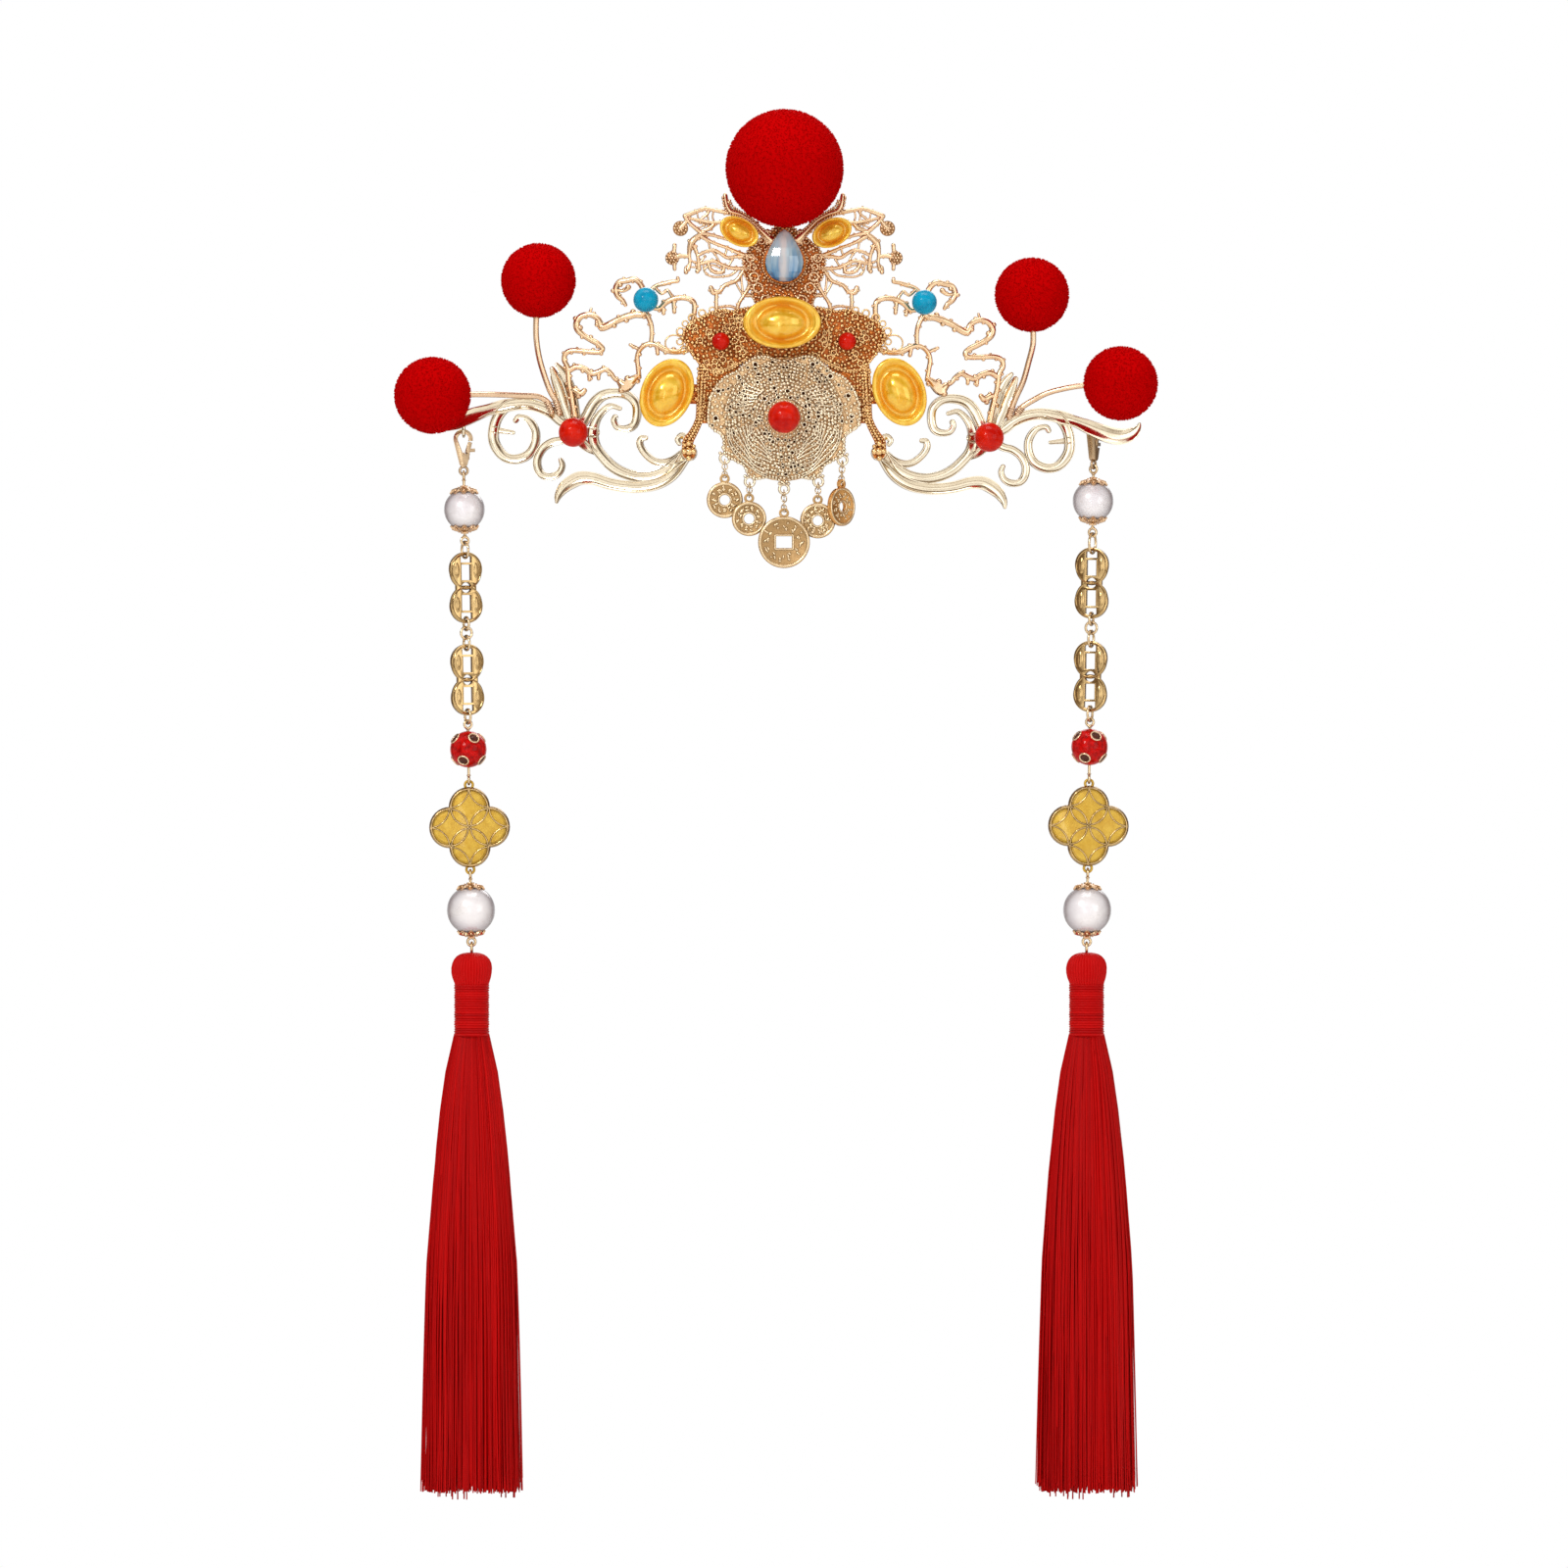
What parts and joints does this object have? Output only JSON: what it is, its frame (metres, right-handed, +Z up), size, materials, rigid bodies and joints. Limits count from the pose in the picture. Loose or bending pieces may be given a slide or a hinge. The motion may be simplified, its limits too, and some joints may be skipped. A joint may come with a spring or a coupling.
{
  "type": "hair crown",
  "caption": "Ceremonial hair crown with a domed filigree medallion, scroll wings, red pompoms, hanging coins and long beaded side strings that end in silk tassels.",
  "frame": {"origin": "middle of the back of the base plate, where the crown sits against the hair", "axes": "+Z up, the crown faces -Y, +X is to the right as seen from the front"},
  "size_m": [0.1953, 0.0499, 0.3537],
  "materials": {
    "champagne_gold": "polished pale gold plating with darker hollows",
    "rose_gold": "rose gold plating, granulated",
    "yellow_gold": "bright yellow gold plating",
    "antique_brass": "antiqued brass, darkened in the hollows",
    "ingot_resin": "glossy golden lacquer over resin",
    "coral": "polished coral red",
    "turquoise": "polished turquoise",
    "pearl": "pearl coating with a soft pink sheen",
    "crystal": "faceted pale blue crystal",
    "pompom_velvet": "cut red yarn",
    "tassel_silk": "red silk threads with a sheen",
    "yellow_enamel": "mustard enamel between gold wires",
    "red_enamel": "red enamel between pink gold wires",
    "comb_metal": "brushed"
  },
  "bodies": {
    "crown": {"medallion": "champagne_gold", "medallion_bead": "coral", "base_plate": "rose_gold", "crest_plate": "rose_gold", "branch_left": "rose_gold", "branch_right": "rose_gold", "scroll_left": "champagne_gold", "scroll_right": "champagne_gold", "ingot_center": "ingot_resin", "ingot_left": "ingot_resin", "ingot_right": "ingot_resin", "ingot_top_left": "ingot_resin", "ingot_top_right": "ingot_resin", "crystal_setting": "rose_gold", "crystal": "crystal", "turquoise_left": "turquoise", "turquoise_right": "turquoise", "coral_left": "coral", "coral_right": "coral", "coral_small_left": "coral", "coral_small_right": "coral", "pompom_top": "pompom_velvet", "pompom_left_upper": "pompom_velvet", "pompom_left_outer": "pompom_velvet", "pompom_right_upper": "pompom_velvet", "pompom_right_outer": "pompom_velvet", "stems_left": "rose_gold", "stems_right": "rose_gold", "hair_comb": "comb_metal", "coin_1": "antique_brass", "coin_2": "antique_brass", "coin_3": "antique_brass", "coin_4": "antique_brass", "coin_5": "antique_brass", "coin_chains": "antique_brass", "clasp_left": "champagne_gold", "pearl_upper_left": "pearl", "coin_link_upper_left": "yellow_gold", "coin_link_lower_left": "yellow_gold", "cloisonne_bead_left": "red_enamel", "quatrefoil_left": "yellow_enamel", "pearl_lower_left": "pearl", "string_fittings_left": "antique_brass", "tassel_head_left": "tassel_silk", "tassel_skirt_left": "tassel_silk", "clasp_right": "champagne_gold", "pearl_upper_right": "pearl", "coin_link_upper_right": "yellow_gold", "coin_link_lower_right": "yellow_gold", "cloisonne_bead_right": "red_enamel", "quatrefoil_right": "yellow_enamel", "pearl_lower_right": "pearl", "string_fittings_right": "antique_brass", "tassel_head_right": "tassel_silk", "tassel_skirt_right": "tassel_silk"},
    "lever_left": {"clasp_lever_left": "champagne_gold"},
    "lever_right": {"clasp_lever_right": "champagne_gold"}
  },
  "joints": [
    {"name": "clasp_lever_left_hinge", "type": "hinge", "parent": "crown", "child": "lever_left", "pos_m": [-0.0817, 0.01816, -0.01629], "axis": [0, -1, 0], "range_deg": [0, 18], "stiffness_Nm_per_rad": 0.002, "springref_deg": -8.59},
    {"name": "clasp_lever_right_hinge", "type": "hinge", "parent": "crown", "child": "lever_right", "pos_m": [0.07981, 0.01967, -0.01465], "axis": [0.848, -0.5299, -0.0121], "range_deg": [0, 18], "stiffness_Nm_per_rad": 0.002, "springref_deg": -8.59}
  ]
}
